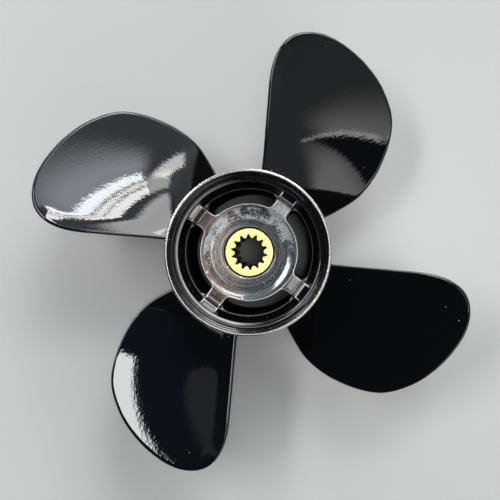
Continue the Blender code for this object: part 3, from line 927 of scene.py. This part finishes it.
blackRubber = {
    "darkColour": (0.007, 0.007, 0.007),
    "greyColour": (0.019, 0.019, 0.018),
    "grainScale": 500,
    "grainHeight": 0.05 * mm,
    "shader": {"Roughness": 0.7},
}


def rubberFinish():
    material, tree, shader = newFinish("black_rubber")
    setInputs(shader, blackRubber["shader"])
    fine = grain(tree, objectPlace(tree), blackRubber["grainScale"], detail=4.0)
    colour = mixColours(tree, fine, blackRubber["darkColour"], blackRubber["greyColour"])
    tree.links.new(colour, shader.inputs["Base Color"])
    tree.links.new(bump(tree, fine, blackRubber["grainHeight"]), shader.inputs["Normal"])
    return material


def coat(piece, *finishes):
    piece.data.materials.clear()
    for finish in finishes:
        piece.data.materials.append(finish)


say("finishes")
blackPaint = glossPaint("gloss_black_paint")
barrelPaint = glossPaint("gloss_black_paint_dusty_bore_edge_highlight", dustyConeWithEdgeHighlight=True)
passagePaint = dullPaint()
for piece in blades:
    coat(piece, blackPaint)
coat(barrelPiece, barrelPaint, passagePaint)
for face in barrelPiece.data.polygons:
    atBore = math.hypot(*face.center.xy) < barrel["bore"] + passage["depth"]
    face.material_index = 1 if atBore and face.center.z < barrel["boreHeight"] else 0
coat(hubTube, passagePaint)
coat(hubFace, castFinish())
coat(flarePiece, rimFinish())
coat(sleevePiece, brassFinish())
coat(rubberPiece, rubberFinish())

# Floor, lights and camera

stage = {
    "floorSize": 12.0,
    "floorColour": (0.42, 0.42, 0.414),
    "shader": {"Roughness": 0.6, "Coat Weight": 0.35, "Coat IOR": 1.5, "Coat Roughness": 0.25},
}
camera = {
    "height": 613 * mm,
    "sensor": 36.0,
    "frame": 500,  # pixels across
    "focal": 1080,  # in the same pixels
    "tiltX": 0.4,
    "tiltY": -2.15,
    "shiftX": 0.488 * mm,
    "shiftY": -0.94 * mm,
    "pivot": 41.7 * mm,
    "roll": -8.5,  # the photograph's right is at this angle
}

say("floor, lights and camera")
floorMesh = bpy.data.meshes.new("floor")
half = stage["floorSize"] / 2
floorCorners = [(-half, -half, 0), (half, -half, 0), (half, half, 0), (-half, half, 0)]
floorMesh.from_pydata(floorCorners, [], [(0, 1, 2, 3)])
floor = linkPiece("floor", floorMesh)
floorFinish, _, floorShader = newFinish("pale_floor")
setInputs(floorShader, stage["shader"])
floorShader.inputs["Base Color"].default_value = (*stage["floorColour"], 1)
coat(floor, floorFinish)

# The sky is a dark studio with soft panels. A corner is a place on a ceiling one metre up, along the
# photograph's right and up, and may hold the softness of the side that starts there. Corners go anticlockwise.
sky = {
    "base": (0.035, 0.05, 0.065),
    "lowest": 0.02,  # directions below this height are treated as this high
    "panels": [
        # corners, softness, colour, strength
        ([(0.04, 0.74), (0.62, 0.895), (0.64, 0.975), (0.06, 0.84)], 0.02, (0.92, 0.97, 1.0), 20),
        ([(0.02, 0.55), (0.66, 0.74), (0.64, 0.92), (0.04, 0.80)], 0.20, (0.85, 0.92, 1.0), 5.0),
        ([(0.08, 0.865), (0.66, 1.005), (0.67, 1.05), (0.09, 0.925)], 0.02, (1.0, 0.98, 0.94), 19),
        ([(0.09, 0.94), (0.67, 1.075), (0.69, 1.20), (0.13, 1.09)], 0.025, (1.0, 0.98, 0.94), 19),
        ([(0.66, 0.97), (1.0, 0.97), (1.04, 1.30), (0.69, 1.22)], 0.10, (1.0, 1.0, 0.92), 7),
        ([(0.72, 0.97), (1.04, 0.69), (1.18, 0.90), (0.95, 1.08)], 0.07, (1.0, 1.0, 0.93), 11),
        ([(0.15, 1.34), (0.98, 1.40), (1.1, 1.6), (1.15, 7), (0.0, 7)], 0.16, (0.97, 1.0, 0.97), 7.5),
        ([(-0.612, 0.05), (-0.42, 0.05), (-0.42, 0.655), (-0.668, 0.655)], 0.015, (0.96, 1.0, 1.0), 17),
        ([(0.0, -0.13), (0.24, -0.13), (0.24, 0.14), (0.0, 0.14, 0.03)], 0.06, (1.0, 0.99, 0.96), 6.5),
        ([(0.2, -0.62, 0.01), (0.9, -0.62, 0.3), (0.9, -0.47), (0.2, -0.47)], 0.28, (1.0, 1.0, 0.94), 1.9),
        (
            [(0.2, -1.25), (0.95, -2.8), (1.9, -2.8), (1.6, -1.5), (1.0, -0.68, 0.05), (0.5, -1.02)],
            0.6, (1.0, 1.0, 0.94), 2.2,
        ),
        (
            [(-1.45, 0.32), (-0.80, 0.07), (-0.74, 0.10), (-0.95, 0.42), (-1.15, 0.54), (-1.38, 0.50)],
            0.06, (1.0, 1.0, 0.92), 0.26,
        ),
        ([(-1.3, 0.1), (-0.5, 0.1), (-0.5, 1.5), (-1.3, 1.5)], 0.4, (0.25, 0.55, 1.3), 0.07),
        ([(0.50, -0.630), (1.15, -0.630), (1.15, -0.595), (0.50, -0.595)], 0.015, (1.0, 1.0, 0.95), 3.2),
        ([(-0.1, 0.3), (1.2, 0.3), (1.2, 1.6), (-0.1, 1.6)], 0.3, (0.8, 0.9, 1.05), 0.9),
        ([(0.2, -0.62, 0.02), (9.0, -0.62), (9.0, 0.0), (0.2, 0.0)], 0.4, (0.9, 1.0, 1.04), 0.36),
        (
            [(0.1, -1.36), (1.2, -3.5), (9.0, -3.5), (9.0, -0.62, 0.02), (1.0, -0.62, 0.05), (0.5, -1.02)],
            0.5, (0.9, 1.0, 1.04), 0.36,
        ),
        ([(0.95, 0.0), (9.0, 0.0), (9.0, 3.5), (1.2, 3.5), (1.05, 1.0)], 0.5, (0.9, 1.0, 1.02), 0.75),
        ([(-14.0, 4.5), (14.0, 4.5), (14.0, 40), (-14.0, 40)], 0.8, (1.0, 1.0, 0.97), 7),
        ([(-2.2, 2.8), (-14.0, 40), (-40, 13), (-3.2, 1.2)], 0.6, (1.0, 1.0, 0.97), 6),
    ],
}


def panelLight(tree, place, corners, softness, strength):  # bright within every side of the panel
    sides = []
    for here, there in zip(corners, corners[1:] + corners[:1]):
        edge = here[2] if len(here) > 2 else softness
        length = math.hypot(there[0] - here[0], there[1] - here[1])
        inX, inY = (here[1] - there[1]) / length, (there[0] - here[0]) / length
        within = addNode(tree, "ShaderNodeVectorMath", "DOT_PRODUCT")
        within.inputs[1].default_value = (inX, inY, 0)
        tree.links.new(place, within.inputs[0])
        line = inX * here[0] + inY * here[1]
        full = 1.0 if sides else strength
        sides.append(ramp(tree, within.outputs["Value"], line - edge / 2, line + edge / 2, 0.0, full))
    return combine(tree, "MULTIPLY", *sides)


def addSky():
    world = bpy.data.worlds.new("studio")
    bpy.context.scene.world = world
    world.use_nodes = True
    tree = world.node_tree
    turned = addNode(tree, "ShaderNodeMapping")
    setInputs(turned, {"Rotation": (0, 0, -math.radians(camera["roll"]))})
    tree.links.new(addNode(tree, "ShaderNodeTexCoord").outputs["Generated"], turned.inputs["Vector"])
    up = addNode(tree, "ShaderNodeMath", "MAXIMUM")
    up.inputs[1].default_value = sky["lowest"]
    tree.links.new(axisOf(tree, turned.outputs["Vector"], "Z"), up.inputs[0])
    ceiling = addNode(tree, "ShaderNodeVectorMath", "DIVIDE")
    tree.links.new(turned.outputs["Vector"], ceiling.inputs[0])
    tree.links.new(up.outputs["Value"], ceiling.inputs[1])
    total = None
    for corners, softness, colour, strength in sky["panels"]:
        light = panelLight(tree, ceiling.outputs["Vector"], corners, softness, strength)
        tinted = addNode(tree, "ShaderNodeVectorMath", "MULTIPLY_ADD")
        tinted.inputs[1].default_value = colour
        tree.links.new(light, tinted.inputs[0])
        if total is None:
            tinted.inputs[2].default_value = sky["base"]
        else:
            tree.links.new(total, tinted.inputs[2])
        total = tinted.outputs["Vector"]
    tree.links.new(total, tree.nodes["Background"].inputs["Color"])


addSky()
bpy.context.scene.view_settings.view_transform = "Standard"

tiltX = Matrix.Rotation(math.radians(camera["tiltX"]), 3, "X")
tiltY = Matrix.Rotation(math.radians(camera["tiltY"]), 3, "Y")
tilt = (tiltX @ tiltY).transposed()
turn = Matrix.Rotation(math.radians(camera["roll"]), 3, "Z")
away = Vector((-camera["shiftX"], -camera["shiftY"], camera["height"] - camera["pivot"]))
place = turn @ (tilt @ away + Vector((0, 0, camera["pivot"])))
cameraData = bpy.data.cameras.new("camera")
cameraData.sensor_width = camera["sensor"]
cameraData.lens = camera["sensor"] * camera["focal"] / camera["frame"]
cameraObject = linkPiece("camera", cameraData)
cameraObject.matrix_world = Matrix.Translation(place) @ (turn @ tilt).to_4x4()
bpy.context.scene.camera = cameraObject

say("sizes")
